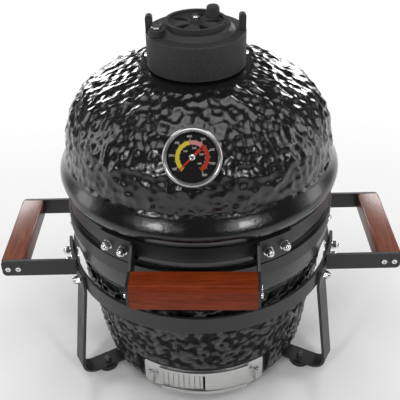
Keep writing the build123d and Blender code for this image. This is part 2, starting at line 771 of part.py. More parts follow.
with BuildPart() as lid_shell:
    with BuildSketch(Plane.XZ):
        with BuildLine():
            FilletPolyline(
                lid_inner[0],
                (lid_lip_r - lid_wall, lid_low_z),
                (lid_lip_r, lid_low_z),
                (lid_lip_r, bulge_low_z),
                lid_outer[0],
                radius=2.2,
            )
            Spline(*lid_outer)
            FilletPolyline(
                lid_outer[-1],
                (chimney_r, lid_outer[-1][1] + 1),
                (chimney_r, neck_top_z),
                (chimney_bore_r, neck_top_z),
                lid_inner[-1],
                radius=1.0,
            )
            Spline(*lid_inner)
        make_face()
    revolve(axis=Axis.Z)
    with BuildSketch(gauge_seat.offset(20)):
        Circle(stem_r + hole_clearance)
    extrude(amount=-60, mode=Mode.SUBTRACT)
lid_shell.part.label = "lid_shell"
export_step(lid_shell.part, "parts/lid_shell.step")

# ---------------------------------------------------------------- front handle on the lid band
front_stud_azimuths = [side * a + lid_yaw for side in (-1, 1) for a in front_stud_leans]
front_stud_z = bracket_flange_z + bracket_flange_h / 2
front_screw_ds = (-front_grip_y - front_grip_d + 8, -front_grip_y - 8)
front_screw_z = front_grip_z + front_grip_h / 2
front_screw_seats = []
for side, side_name in ((-1, "left"), (1, "right")):
    with BuildPart() as bracket:
        flange_from = degrees(asin(front_grip_half / lid_band_r))
        flange_ends = sorted((side * flange_from, side * bracket_flange_end))
        with BuildSketch(lid_front.offset(bracket_flange_z)):
            add(sector(lid_band_r, lid_band_r + bracket_t, *flange_ends))
        extrude(amount=bracket_flange_h)
        inner_face = Plane(
            origin=lid_front.from_local_coords((side * front_grip_half, 0, 0)),
            x_dir=-lid_front.y_dir,
            z_dir=-lid_front.x_dir,
        )
        root = turned_y(lid_band_r, front_grip_half) + hole_clearance
        with BuildSketch(inner_face):
            with BuildLine():
                Polyline(
                    (root, bracket_flange_z),
                    (root, bracket_flange_z + bracket_flange_h),
                    (root + 9, bracket_flange_z + bracket_flange_h),
                    (-front_grip_y - front_grip_d, front_grip_z + front_grip_h),
                    (-front_grip_y - 3, front_grip_z + front_grip_h),
                    (-front_grip_y, front_grip_z + front_grip_h - 3),
                    (-front_grip_y, front_grip_z + 3),
                    (-front_grip_y - 3, front_grip_z),
                    (-front_grip_y - front_grip_d, front_grip_z),
                    (root + 6, bracket_flange_z),
                    close=True,
                )
            make_face()
        extrude(amount=-side * bracket_t)
        seats = [
            Plane(
                origin=lid_front.from_local_coords((side * (front_grip_half + bracket_t), -d, front_screw_z)),
                x_dir=lid_front.y_dir,
                z_dir=lid_front.x_dir * side,
            )
            for d in front_screw_ds
        ]
        for seat in seats:
            with BuildSketch(seat):
                Circle(grip_screw_r + hole_clearance)
            extrude(amount=-2 * bracket_t, mode=Mode.SUBTRACT)
        for azimuth in front_stud_azimuths:
            with BuildSketch(radial(azimuth, lid_band_r - 5, front_stud_z)):
                Circle(stud_r + hole_clearance)
            extrude(amount=12, mode=Mode.SUBTRACT)
    front_screw_seats += seats
    bracket.part.label = f"front_bracket_{side_name}"
    export_step(bracket.part, f"parts/front_bracket_{side_name}.step")

with BuildPart() as front_grip:
    with BuildSketch(lid_front.offset(front_grip_z)):
        with Locations((0, front_grip_y + front_grip_d / 2)):
            Rectangle(2 * front_grip_half, front_grip_d)
    extrude(amount=front_grip_h)
    long_edges = front_grip.edges().filter_by(Axis((0, 0, 0), tuple(lid_front.x_dir)))
    top_front = long_edges.group_by(Axis.Z)[-1].sort_by(Axis.Y)[0]
    chamfer(top_front, grip_chamfer)
    for seat in front_screw_seats:
        with BuildSketch(seat):
            Circle(grip_screw_r)
        extrude(amount=-bracket_t - grip_bore_len, mode=Mode.SUBTRACT)
front_grip.part.label = "front_grip"
export_step(front_grip.part, "parts/front_grip.step")

front_grip_screws = pan_screws(
    front_screw_seats, grip_screw_head_r, grip_screw_head_h, grip_screw_r, bracket_t + grip_screw_len
)
front_grip_screws.part.label = "front_grip_screws"
export_step(front_grip_screws.part, "parts/front_grip_screws.step")

front_seats = [radial(a, lid_band_r, front_stud_z) for a in front_stud_azimuths]
front_studs = studs(front_seats, bracket_t + stud_reach)
front_studs.part.label = "front_studs"
export_step(front_studs.part, "parts/front_studs.step")

front_nuts = nuts([p.offset(bracket_t) for p in front_seats])
front_nuts.part.label = "front_nuts"
export_step(front_nuts.part, "parts/front_nuts.step")

# ---------------------------------------------------------------- thermometer
case_back = 2.0
case_floor = 1.2
dial_h = 8.2
dial_t = 0.8
pointer_h = dial_h + dial_t + 0.3
pointer_t = 0.8
lens_h = 11.0
lens_t = 1.6
bezel_h = 13.2
case_r = gauge_r - 1.6
pointer_len = 20.0
pointer_w = 2.6
pointer_hub_r = 3.2
spindle_r = 1.0

with BuildPart() as gauge_case:
    with BuildSketch(gauge_seat.offset(case_back)):
        Circle(case_r)
    extrude(amount=dial_h - case_back)
    with BuildSketch(gauge_seat.offset(case_back + case_floor)):
        Circle(case_r - 1.2)
    extrude(amount=dial_h, mode=Mode.SUBTRACT)
    with BuildSketch(gauge_seat.offset(0.1)):
        Circle(7)
    extrude(amount=case_back)
    with BuildSketch(gauge_seat):
        Circle(stem_r)
    extrude(amount=dial_h, mode=Mode.SUBTRACT)
gauge_case.part.label = "gauge_case"
export_step(gauge_case.part, "parts/gauge_case.step")

with BuildPart() as gauge_bezel:
    with BuildSketch(gauge_seat.offset(case_back + 1)):
        Circle(gauge_r)
        Circle(case_r, mode=Mode.SUBTRACT)
    extrude(amount=dial_h + dial_t - case_back - 1)
    with BuildSketch(gauge_seat.offset(dial_h + dial_t)):
        Circle(gauge_r)
        Circle(gauge_dial_r, mode=Mode.SUBTRACT)
    extrude(amount=bezel_h - dial_h - dial_t)
    front_edges = gauge_bezel.faces().sort_by(Axis(gauge_seat.origin, gauge_seat.z_dir))[-1].edges()
    fillet(front_edges.sort_by(SortBy.RADIUS)[-1], 2.4)
gauge_bezel.part.label = "gauge_bezel"
export_step(gauge_bezel.part, "parts/gauge_bezel.step")

with BuildPart() as gauge_dial:
    with BuildSketch(gauge_seat.offset(dial_h)):
        Circle(case_r)
        Circle(spindle_r, mode=Mode.SUBTRACT)
    extrude(amount=dial_t)
gauge_dial.part.label = "gauge_dial"
export_step(gauge_dial.part, "parts/gauge_dial.step")

with BuildPart() as gauge_pointer:
    with BuildSketch(gauge_seat.offset(pointer_h)):
        with Locations(Rot(0, 0, 225)):
            Trapezoid(pointer_len, pointer_w, 86, 86, align=(Align.MIN, Align.CENTER))
        Circle(pointer_hub_r)
    extrude(amount=pointer_t)
    with BuildSketch(gauge_seat.offset(pointer_h - 4)):
        Circle(spindle_r - pin_clearance)
    extrude(amount=4)
gauge_pointer.part.label = "gauge_pointer"
export_step(gauge_pointer.part, "parts/gauge_pointer.step")

with BuildPart() as gauge_lens:
    with BuildSketch(gauge_seat.offset(lens_h)):
        Circle(gauge_dial_r)
    extrude(amount=lens_t)
gauge_lens.part.label = "gauge_lens"
export_step(gauge_lens.part, "parts/gauge_lens.step")

with BuildPart() as gauge_stem:
    with BuildSketch(gauge_seat.offset(case_back + case_floor)):
        Circle(stem_r)
    extrude(amount=-stem_len)
    fillet(gauge_stem.edges().sort_by(Axis(gauge_seat.origin, gauge_seat.z_dir))[0], 2)
gauge_stem.part.label = "gauge_stem"
export_step(gauge_stem.part, "parts/gauge_stem.step")

with BuildPart() as gauge_nut:
    with BuildSketch(gauge_seat.offset(-lid_wall - 4)):
        RegularPolygon(7, 6)
        Circle(stem_r, mode=Mode.SUBTRACT)
    extrude(amount=-5)
gauge_nut.part.label = "gauge_nut"
export_step(gauge_nut.part, "parts/gauge_nut.step")

# ---------------------------------------------------------------- vent cap and damper
cap_in_r = cap_r - cap_wall
cap_screw_z = 462.0
cap_screw_r = 2.0
with BuildPart() as vent_cap:
    with BuildSketch(Plane.XZ):
        with BuildLine():
            Polyline(
                (cap_hole_r, cap_top_z),
                (cap_r, cap_top_z),
                (cap_r, cap_low_z),
                (cap_in_r, cap_low_z),
                (cap_in_r, cap_top_z - cap_plate),
                (cap_hole_r, cap_top_z - cap_plate),
                close=True,
            )
        make_face()
    revolve(axis=Axis.Z)
    fillet(vent_cap.edges().filter_by(GeomType.CIRCLE).group_by(Axis.Z)[-1].sort_by(SortBy.RADIUS)[-1], 1.6)
    for side in (-1, 1):
        lug_root_z = cap_top_z - cap_plate / 2
        with BuildSketch(Plane(origin=(side * lug_x, lug_y, 0), x_dir=(1, 0, 0), z_dir=(0, -1, 0))):
            with Locations((0, lug_root_z)):
                Rectangle(lug_w, lug_top_z - lug_root_z, align=(Align.CENTER, Align.MIN))
            fillet(vertices().group_by(Axis.Z)[-1], lug_round)
        extrude(amount=lug_t / 2, both=True)
    with BuildSketch(Plane.XY.offset(cap_top_z - cap_plate)):
        with Locations((pivot_x, pivot_y)):
            Circle(stud_r)
    extrude(amount=cap_plate, mode=Mode.SUBTRACT)
    for side in (-1, 1):
        with BuildSketch(radial(side * 90, cap_in_r - 1, cap_screw_z)):
            Circle(cap_screw_r)
        extrude(amount=10, mode=Mode.SUBTRACT)
vent_cap.part.label = "vent_cap"
export_step(vent_cap.part, "parts/vent_cap.step")

gasket_low_z = lid_outer[-1][1] + 2.2
with BuildPart() as cap_gasket:
    with BuildSketch(Plane.XY.offset(gasket_low_z)):
        Circle(cap_in_r)
        Circle(chimney_r, mode=Mode.SUBTRACT)
    extrude(amount=neck_top_z - gasket_low_z)
    with BuildSketch(Plane.XY.offset(neck_top_z)):
        Circle(cap_in_r)
        Circle(chimney_r - 2, mode=Mode.SUBTRACT)
    extrude(amount=cap_seat_t)
    for side in (-1, 1):
        with BuildSketch(radial(side * 90, chimney_r - 5, cap_screw_z)):
            Circle(cap_screw_r)
        extrude(amount=12, mode=Mode.SUBTRACT)
cap_gasket.part.label = "cap_gasket"
export_step(cap_gasket.part, "parts/cap_gasket.step")

cap_seats = [radial(side * 90, cap_r, cap_screw_z) for side in (-1, 1)]
cap_screws = pan_screws(cap_seats, 4.2, 2.8, cap_screw_r, cap_wall + 2.5)
cap_screws.part.label = "cap_screws"
export_step(cap_screws.part, "parts/cap_screws.step")

# the swinging disc and the daisy wheel share one petal pattern
disc_z = cap_top_z + head_gap
disc_top_z = disc_z + disc_t
wheel_z = disc_top_z + wheel_gap
wheel_rim_z = wheel_z + wheel_rim_h
petal_turn = 25.0 - 90.0


def petal_pattern():
    """The five petal openings, as a sketch to add."""
    with BuildSketch() as pattern:
        for petal in range(petals):
            a = radians(petal_turn + petal * 360 / petals)
            with BuildSketch(mode=Mode.PRIVATE) as outline:
                with Locations((petal_in_r * cos(a), petal_in_r * sin(a))):
                    Circle(petal_in_round)
                with Locations((petal_out_r * cos(a), petal_out_r * sin(a))):
                    Circle(petal_out_round)
                make_hull()
            add(outline.sketch)
    return pattern.sketch


with BuildPart() as damper_disc:
    with BuildSketch(Plane.XY.offset(disc_z)):
        Circle(disc_r)
    extrude(amount=disc_t, taper=disc_taper)
    fillet(damper_disc.edges().group_by(Axis.Z)[-1], 0.8)
    with BuildSketch(Plane.XY.offset(disc_z)):
        with Locations((pivot_x, pivot_y)):
            Circle(ear_r)
    extrude(amount=disc_t + ear_h)
    with BuildSketch(Plane.XY.offset(disc_z - 1)):
        add(petal_pattern())
    extrude(amount=disc_t + 4, mode=Mode.SUBTRACT)
    with BuildSketch(Plane.XY.offset(disc_z - 1)):
        with Locations((pivot_x, pivot_y)):
            Circle(stud_r + pin_clearance)
        Circle(stud_r)
    extrude(amount=disc_t + 6, mode=Mode.SUBTRACT)
damper_disc.part.label = "damper_disc"
export_step(damper_disc.part, "parts/damper_disc.step")

pivot_head_z = disc_top_z + ear_h + head_gap
with BuildPart() as damper_pivot:
    with BuildSketch(Plane.XY.offset(cap_top_z - cap_plate)):
        with Locations((pivot_x, pivot_y)):
            Circle(stud_r)
    extrude(amount=pivot_head_z - cap_top_z + cap_plate)
    with BuildSketch(Plane.XY.offset(pivot_head_z)):
        with Locations((pivot_x, pivot_y)):
            RegularPolygon(hex_r, 6)
    extrude(amount=3.2)
damper_pivot.part.label = "damper_pivot"
export_step(damper_pivot.part, "parts/damper_pivot.step")

with BuildPart() as daisy_wheel:
    with BuildSketch(Plane.XY.offset(wheel_z)):
        Circle(wheel_r)
    extrude(amount=wheel_plate)
    with BuildSketch(Plane.XY.offset(wheel_z)):
        Circle(wheel_r)
        Circle(wheel_r - wheel_rim_w, mode=Mode.SUBTRACT)
    extrude(amount=wheel_rim_z - wheel_z)
    with BuildSketch(Plane.XY.offset(wheel_z)):
        Circle(wheel_hub_r)
    extrude(amount=wheel_rim_h - wheel_hub_sink, taper=8)
    with BuildSketch(Plane.XY.offset(wheel_z - 1)):
        add(petal_pattern())
    extrude(amount=wheel_plate + 2, mode=Mode.SUBTRACT)
    with BuildSketch(Plane.XY.offset(wheel_z)):
        with Locations((knob_x, knob_y)):
            Circle(knob_r)
    extrude(amount=knob_h, taper=5)
    fillet(daisy_wheel.faces().sort_by(Axis.Z)[-1].edges(), 3)
    with BuildSketch(Plane.XY.offset(wheel_z - 1)):
        Circle(stud_r + pin_clearance)
    extrude(amount=12, mode=Mode.SUBTRACT)
daisy_wheel.part.label = "daisy_wheel"
export_step(daisy_wheel.part, "parts/daisy_wheel.step")

wheel_head_z = wheel_rim_z - wheel_hub_sink + head_gap
with BuildPart() as daisy_bolt:
    with BuildSketch(Plane.XY.offset(disc_z)):
        Circle(stud_r)
    extrude(amount=wheel_head_z - disc_z)
    with BuildSketch(Plane.XY.offset(wheel_head_z)):
        RegularPolygon(hex_r, 6)
    extrude(amount=3.8)
    with BuildSketch(Plane.XY.offset(wheel_head_z + 3.8)):
        Circle(stud_r)
    extrude(amount=2.4)
daisy_bolt.part.label = "daisy_bolt"
export_step(daisy_bolt.part, "parts/daisy_bolt.step")
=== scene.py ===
import json
from math import cos, exp, hypot, pi, radians, sin

import bpy
from bpy.props import FloatProperty, FloatVectorProperty, IntProperty, PointerProperty
from mathutils import Matrix, Vector


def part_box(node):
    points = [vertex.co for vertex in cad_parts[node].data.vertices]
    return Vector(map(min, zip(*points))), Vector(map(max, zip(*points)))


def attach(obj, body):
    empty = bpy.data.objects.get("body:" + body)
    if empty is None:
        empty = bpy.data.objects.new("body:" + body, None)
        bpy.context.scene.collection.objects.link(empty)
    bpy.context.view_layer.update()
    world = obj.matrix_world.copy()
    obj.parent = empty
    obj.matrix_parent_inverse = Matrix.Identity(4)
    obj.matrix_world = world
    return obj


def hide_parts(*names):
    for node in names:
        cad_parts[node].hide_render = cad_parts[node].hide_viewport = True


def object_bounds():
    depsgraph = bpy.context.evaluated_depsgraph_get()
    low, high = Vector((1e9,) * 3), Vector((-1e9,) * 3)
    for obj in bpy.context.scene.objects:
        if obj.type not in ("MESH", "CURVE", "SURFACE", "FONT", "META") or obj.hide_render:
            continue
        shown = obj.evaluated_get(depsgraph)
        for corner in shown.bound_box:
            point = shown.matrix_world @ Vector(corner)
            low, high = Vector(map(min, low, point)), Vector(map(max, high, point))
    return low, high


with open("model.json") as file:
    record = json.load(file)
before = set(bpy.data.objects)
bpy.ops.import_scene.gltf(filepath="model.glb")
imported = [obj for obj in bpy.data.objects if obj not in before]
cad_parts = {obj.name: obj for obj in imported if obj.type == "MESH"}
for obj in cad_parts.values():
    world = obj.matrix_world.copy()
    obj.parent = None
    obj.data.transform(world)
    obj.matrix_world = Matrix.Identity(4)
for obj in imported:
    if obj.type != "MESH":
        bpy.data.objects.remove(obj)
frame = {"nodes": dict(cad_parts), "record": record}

bl_info = {
    "name": "Kamado grill looks",
    "version": (1, 0, 0),
    "blender": (4, 5, 0),
    "location": "3D View > Sidebar > Kamado",
    "description": "Glazed ceramic, powder-coated steel, lacquered wood and a dial round the packed grill",
    "category": "Add Mesh",
}

CAD_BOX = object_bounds()
MM = 0.001
LID_YAW = radians(-2.1)


# ---------------------------------------------------------------- sizes and colours
def length(name, description, default):
    return FloatProperty(name=name, description=description, default=default, unit="LENGTH", precision=5)


def colour(name, description, default):
    return FloatVectorProperty(name=name, description=description, default=default, subtype="COLOR", size=3)


class KamadoCeramic(bpy.types.PropertyGroup):
    lid_r: length("Lid radius", "Radius where the dome starts", 0.1725)
    lid_bulge: length("Rolled rim", "How far the rolled rim stands out", 0.012)
    lid_bulge_z: length("Rolled rim height", "Height of the rolled rim's middle", 0.316)
    lid_bulge_w: length("Rolled rim width", "Half width of the rolled rim", 0.0177)
    dome_z: length("Dome start", "Height where the dome starts", 0.340)
    dome_h: length("Dome height", "Rise of the dome", 0.112)
    dome_power: FloatProperty(name="Dome squareness", description="Exponent of the dome's curve", default=2.6)
    lip_r: length("Lip radius", "Radius of the lid's lip under its band", 0.1765)
    neck_r: length("Neck radius", "Outside of the chimney's neck", 0.054)
    bore_r: length("Chimney bore", "Inside of the chimney's neck", 0.041)
    wall: length("Wall", "Thickness of the ceramic", 0.020)
    dimple: length("Dimple size", "Width of one dimple in the glaze", 0.0105)
    dimple_depth: length("Dimple depth", "Depth of the dimples on the lid", 0.0042)
    pit_depth: length("Pot pit depth", "Depth of the pits in the pot's glaze", 0.0022)
    segments: IntProperty(name="Segments", description="Steps round the ceramic", default=480, min=48)


class KamadoHandles(bpy.types.PropertyGroup):
    front_half: length("Front half length", "Half the length of the front handle", 0.072)
    front_y: length("Front face", "Place of the front handle's front face", -0.2315)
    front_deep: length("Front depth", "Front handle from front to back", 0.029)
    front_z: length("Front underside", "Height of the front handle's underside", 0.255)
    front_high: length("Front height", "Height of the front handle's face", 0.0318)
    front_chamfer: length("Front chamfer", "Chamfer along the front handle's upper front edge", 0.0043)
    side_chamfer: length("Side chamfer", "Chamfer along the side handles", 0.0020)
    wood_dark: colour("Wood dark", "Dark lines of the wood", (0.090, 0.012, 0.0022))
    wood_light: colour("Wood light", "Light parts of the wood", (0.250, 0.038, 0.0070))
    side_dark: colour("Side wood dark", "Dark lines of the side bars", (0.125, 0.042, 0.026))
    side_light: colour("Side wood light", "Light parts of the side bars", (0.290, 0.100, 0.060))


class KamadoDial(bpy.types.PropertyGroup):
    bezel_r: length("Bezel radius", "Outside of the thermometer's bezel", 0.0327)
    face_r: length("Face radius", "Visible radius of the dial", 0.0273)
    seat_r: length("Seat radius", "Distance of the dial from the lid's axis", 0.1543)
    arc_in: length("Scale inside", "Inner radius of the coloured scale", 0.0141)
    arc_out: length("Scale outside", "Outer radius of the coloured scale", 0.0185)
    yellow: colour("Yellow", "Low end of the scale", (0.83, 0.66, 0.045))
    pink: colour("Pink", "Middle of the scale", (0.75, 0.30, 0.33))
    red: colour("Red", "High end of the scale", (0.55, 0.045, 0.018))


class KamadoStage(bpy.types.PropertyGroup):
    floor: FloatProperty(name="Floor", description="Size of the pale floor", default=14.0, unit="LENGTH")
    sky: FloatProperty(name="Sky", description="Strength of the even white light all round", default=0.09)
    lens: FloatProperty(name="Lens", description="Focal length in millimetres", default=60.84)
    elevation: FloatProperty(name="Elevation", description="Camera's height angle", default=radians(34.31),
                             subtype="ANGLE")


# ---------------------------------------------------------------- shader building
class Value:
    """A number in a material: arithmetic on it adds Math nodes."""

    def __init__(self, finish, socket):
        self.finish = finish
        self.socket = socket

    def _math(self, operation, *terms):
        sockets = dict(enumerate(terms))
        node = self.finish.node("ShaderNodeMath", {"operation": operation}, sockets)
        return Value(self.finish, node.outputs[0])

    def __add__(self, other):
        return self._math("ADD", self, other)

    __radd__ = __add__

    def __mul__(self, other):
        return self._math("MULTIPLY", self, other)

    __rmul__ = __mul__

    def span(self, low, high):
        """0 below low, 1 above high, straight between."""
        sockets = {"Value": self, "From Min": low, "From Max": high}
        node = self.finish.node("ShaderNodeMapRange", {"clamp": True}, sockets)
        return Value(self.finish, node.outputs["Result"])


FINISHES = {}


class Finish:
    """One procedural material, built node by node on Object coordinates, and kept by its name."""

    def __init__(self, name, **constants):
        self.material = bpy.data.materials.new(f"{name}_finish")
        self.material.use_nodes = True
        FINISHES[name] = self.material
        self.tree = self.material.node_tree
        self.tree.nodes.clear()
        sockets = {key.replace("_", " ").title().replace("Ior", "IOR"): constants[key] for key in constants}
        self.surface = self.node("ShaderNodeBsdfPrincipled", None, sockets)
        self.node("ShaderNodeOutputMaterial", None, {"Surface": self.surface.outputs[0]})
        self.place = self.node("ShaderNodeTexCoord").outputs["Object"]

    def node(self, kind, settings=None, sockets=None):
        node = self.tree.nodes.new(kind)
        for key, value in (settings or {}).items():
            if key == "stops":
                ramp = node.color_ramp
                while len(ramp.elements) < len(value):
                    ramp.elements.new(0.5)
                for element, (position, shade) in zip(ramp.elements, value):
                    element.position = position
                    element.color = (*shade, 1.0)
            else:
                setattr(node, key, value)
        for key, value in (sockets or {}).items():
            self.feed(node.inputs[key], value)
        return node

    def feed(self, socket, value):
        if isinstance(value, Value):
            value = value.socket
        if isinstance(value, bpy.types.NodeSocket):
            self.tree.links.new(value, socket)
        elif socket.type == "RGBA" and len(value) == 3:
            socket.default_value = (*value, 1.0)
        else:
            socket.default_value = value

    def put(self, **values):
        for key, value in values.items():
            self.feed(self.surface.inputs[key.replace("_", " ").title()], value)

    def mapped(self, scale=(1, 1, 1), turn=(0, 0, 0), centre=(0, 0, 0)):
        moved = self.node("ShaderNodeVectorMath", {"operation": "SUBTRACT"}, {0: self.place, 1: centre})
        settings = {"vector_type": "POINT"}
        sockets = {"Vector": moved.outputs[0], "Rotation": turn, "Scale": scale}
        return self.node("ShaderNodeMapping", settings, sockets).outputs[0]

    def noise(self, scale, detail=3.0, rough=0.5, where=None):
        sockets = {"Vector": where or self.place, "Scale": scale, "Detail": detail, "Roughness": rough}
        return Value(self, self.node("ShaderNodeTexNoise", None, sockets).outputs[0])

    def cells(self, scale, where=None):
        sockets = {"Vector": where or self.place, "Scale": scale}
        return Value(self, self.node("ShaderNodeTexVoronoi", None, sockets).outputs["Distance"])

    def mix(self, factor, low, high):
        node = self.node("ShaderNodeMix", {"data_type": "RGBA"})
        for key, value in ((0, factor), (6, low), (7, high)):
            self.feed(node.inputs[key], value)
        return node.outputs[2]

    def bump(self, height, distance, strength=1.0):
        sockets = {"Height": height, "Distance": distance, "Strength": strength}
        self.put(normal=self.node("ShaderNodeBump", None, sockets).outputs[0])


def glaze(name, low, high, grain, coat):
    """Black glass-like glaze with a little dust and waviness."""
    finish = Finish(name, ior=1.52, coat_weight=coat, coat_roughness=0.06)
    cloud = finish.noise(38.0)
    fine = finish.noise(grain, 4.0, 0.6)
    finish.put(base_color=finish.mix(cloud, (0.003, 0.003, 0.0032), (0.0075, 0.0075, 0.008)))
    finish.put(roughness=fine.span(0.35, 0.75) * (high - low) + low)
    finish.bump(fine, 0.00035)
    return finish.material


def pitted_glaze(name):
    """Black glaze that shines on its flats and is dull in its pits, with painted shade darkening the pits."""
    finish = Finish(name, ior=1.5, specular_ior_level=0.12, coat_roughness=0.22)
    pits = Value(finish, finish.node("ShaderNodeAttribute", {"attribute_name": "pressed"}).outputs["Fac"])
    fine = finish.noise(420.0, 4.0, 0.6)
    unshaded_flats = pits.span(0.62, 0.28)
    # Painted shade: the base colour is darker in the deep pits, where shade falls; the coat on the flats is the
    # glaze's real gloss.
    finish.put(base_color=finish.mix(unshaded_flats, (0.0015, 0.0015, 0.0016), (0.010, 0.010, 0.0105)))
    finish.put(coat_weight=unshaded_flats * 0.85, roughness=fine * 0.2 + 0.35)
    finish.bump(fine, 0.0003)
    return finish.material


def powder_coat(name):
    """Satin black powder coat: a fine orange peel and slightly worn patches."""
    finish = Finish(name, ior=1.5)
    peel = finish.noise(900.0, 2.0)
    cloud = finish.noise(24.0, 4.0, 0.6)
    finish.put(base_color=finish.mix(cloud, (0.009, 0.009, 0.0095), (0.019, 0.019, 0.020)))
    finish.put(roughness=cloud.span(0.3, 0.7) * 0.14 + 0.34)
    finish.bump(peel, 0.00012, 0.6)
    return finish.material


def sandy_iron(name, low, high, rough):
    """Cast iron with a sand-cast skin."""
    finish = Finish(name, ior=1.5)
    sand = finish.noise(620.0, 5.0, 0.7)
    cloud = finish.noise(45.0, 3.0)
    speck = finish.cells(900.0).span(0.1, 0.5)
    finish.put(base_color=finish.mix(sand.span(0.35, 0.7), (low,) * 3, (high,) * 3))
    finish.put(roughness=cloud * 0.18 + rough)
    finish.bump(sand * 0.8 + speck * 0.3, 0.00055, 0.8)
    return finish.material


def brushed(name, shade, along, across, rough):
    """Stainless steel brushed one way: streaks in colour, gloss and relief."""
    finish = Finish(name, metallic=1.0)
    streak = finish.noise(1.0, 3.0, 0.6, finish.mapped((along, along, across)))
    smear = finish.noise(30.0, 2.0)
    dark = tuple(c * 0.78 for c in shade)
    finish.put(base_color=finish.mix(streak.span(0.3, 0.7), dark, shade))
    finish.put(roughness=streak * 0.16 + smear * 0.08 + rough)
    finish.bump(streak, 0.00006, 0.5)
    return finish.material


def turned_steel(name, seat, turn):
    """Stainless ring brushed round its own axis."""
    finish = Finish(name, metallic=1.0)
    local = finish.mapped((1, 1, 0), turn, seat)
    reach = finish.node("ShaderNodeVectorMath", {"operation": "LENGTH"}, {0: local}).outputs["Value"]
    rings = finish.noise(2600.0, 2.0, 0.5, finish.node("ShaderNodeCombineXYZ", None, {0: reach}).outputs[0])
    finish.put(base_color=finish.mix(rings.span(0.3, 0.7), (0.38, 0.38, 0.39), (0.62, 0.62, 0.62)))
    finish.put(roughness=rings * 0.14 + 0.20)
    finish.bump(rings, 0.00005, 0.5)
    return finish.material


def bright_zinc(name):
    """Polished zinc plate with faint haze."""
    finish = Finish(name, metallic=1.0)
    haze = finish.noise(260.0, 3.0)
    finish.put(base_color=finish.mix(haze, (0.62, 0.62, 0.64), (0.86, 0.86, 0.87)))
    finish.put(roughness=haze.span(0.3, 0.8) * 0.16 + 0.10)
    finish.bump(haze, 0.00005, 0.4)
    return finish.material


def lacquered_wood(name, dark, light, run, turn, sheen, gloss):
    """Lacquered hardwood: pores and growth lines running along the bar."""
    finish = Finish(name, ior=1.4, specular_ior_level=sheen, coat_roughness=0.12)
    grain = finish.mapped(run, turn)
    wander = finish.noise(1.0, 2.0, 0.5, grain)
    lines = finish.noise(3.4, 6.0, 0.62, grain)
    pores = finish.noise(11.0, 3.0, 0.6, grain)
    tone = lines.span(0.34, 0.68) * 0.65 + wander.span(0.3, 0.7) * 0.35
    body = finish.mix(tone, dark, light)
    finish.put(base_color=finish.mix(pores.span(0.62, 0.72) * 0.65, body, tuple(c * 0.35 for c in dark)))
    finish.put(roughness=lines * 0.18 + 0.24)
    finish.put(coat_weight=pores.span(0.75, 0.5) * gloss)
    finish.bump(lines * 0.4 + pores * 0.5, 0.0003, 0.35)
    return finish.material


def felt(name):
    finish = Finish(name, sheen_weight=0.25)
    fluff = finish.noise(700.0, 5.0, 0.7)
    finish.put(base_color=finish.mix(fluff, (0.004, 0.004, 0.004), (0.02, 0.02, 0.02)))
    finish.put(roughness=fluff * 0.1 + 0.85)
    finish.bump(fluff, 0.0006)
    return finish.material


def moulded_rubber(name):
    finish = Finish(name)
    cloud = finish.noise(160.0, 4.0)
    finish.put(base_color=finish.mix(cloud, (0.008, 0.008, 0.008), (0.02, 0.02, 0.02)))
    finish.put(roughness=cloud * 0.2 + 0.5)
    finish.bump(cloud, 0.0002, 0.5)
    return finish.material


def fire_clay(name):
    """Refractory clay with patches of soot."""
    finish = Finish(name)
    grit = finish.noise(240.0, 6.0, 0.7)
    soot = finish.noise(14.0, 4.0, 0.6)
    clay = finish.mix(grit, (0.34, 0.22, 0.13), (0.58, 0.43, 0.30))
    finish.put(base_color=finish.mix(soot.span(0.42, 0.7), clay, (0.06, 0.045, 0.035)))
    finish.put(roughness=grit * 0.1 + 0.85)
    finish.bump(grit, 0.0009, 0.7)
    return finish.material


def paint(name, shade, rough, grain=500.0):
    """Printed or sprayed colour with a slight mottle."""
    finish = Finish(name, specular_ior_level=0.2)
    cloud = finish.noise(grain, 3.0)
    finish.put(base_color=finish.mix(cloud, tuple(c * 0.86 for c in shade), shade))
    finish.put(roughness=cloud * 0.1 + rough)
    finish.bump(cloud, 0.00003, 0.4)
    return finish.material


def lens_glass(name):
    """Flat window glass: mostly clear, with the gloss of its face."""
    finish = Finish(name, ior=1.5)
    smear = finish.noise(90.0, 3.0)
    finish.put(base_color=finish.mix(smear, (0.006, 0.006, 0.006), (0.012, 0.012, 0.012)))
    finish.put(roughness=smear * 0.03 + 0.02)
    finish.put(alpha=smear * 0.02 + 0.07)
    return finish.material


# ---------------------------------------------------------------- modelling with operators
def rest():
    if bpy.context.object and bpy.context.object.mode != "OBJECT":
        bpy.ops.object.mode_set(mode="OBJECT")
    bpy.ops.object.select_all(action="DESELECT")


def only(*pieces):
    rest()
    for piece in pieces:
        piece.select_set(True)
    bpy.context.view_layer.objects.active = pieces[0]


def named(name):
    piece = bpy.context.object
    piece.name = name
    piece.data.name = name
    return piece


def apply_modifier(piece, name):
    only(piece)
    bpy.ops.object.modifier_apply(modifier=name)


def settle(piece):
    """Puts the piece's place into its mesh."""
    only(piece)
    bpy.ops.object.transform_apply(location=True, rotation=True, scale=True)


def placed(piece, matrix):
    piece.matrix_world = matrix
    settle(piece)
    return piece


def smooth(piece, angle=35.0):
    only(piece)
    bpy.ops.object.shade_smooth_by_angle(angle=radians(angle))


def choose(piece, test, kind="FACE"):
    """Selects, in edit mode, what passes a test on its centre and normal."""
    only(piece)
    bpy.ops.object.mode_set(mode="EDIT")
    bpy.ops.mesh.select_mode(type=kind)
    bpy.ops.mesh.select_all(action="DESELECT")
    bpy.ops.object.mode_set(mode="OBJECT")
    mesh = piece.data
    if kind == "FACE":
        for face in mesh.polygons:
            face.select = test(face.center, face.normal)
    else:
        for edge in mesh.edges:
            a, b = (mesh.vertices[i].co for i in edge.vertices)
            edge.select = test((a + b) / 2, b - a)
    bpy.ops.object.mode_set(mode="EDIT")


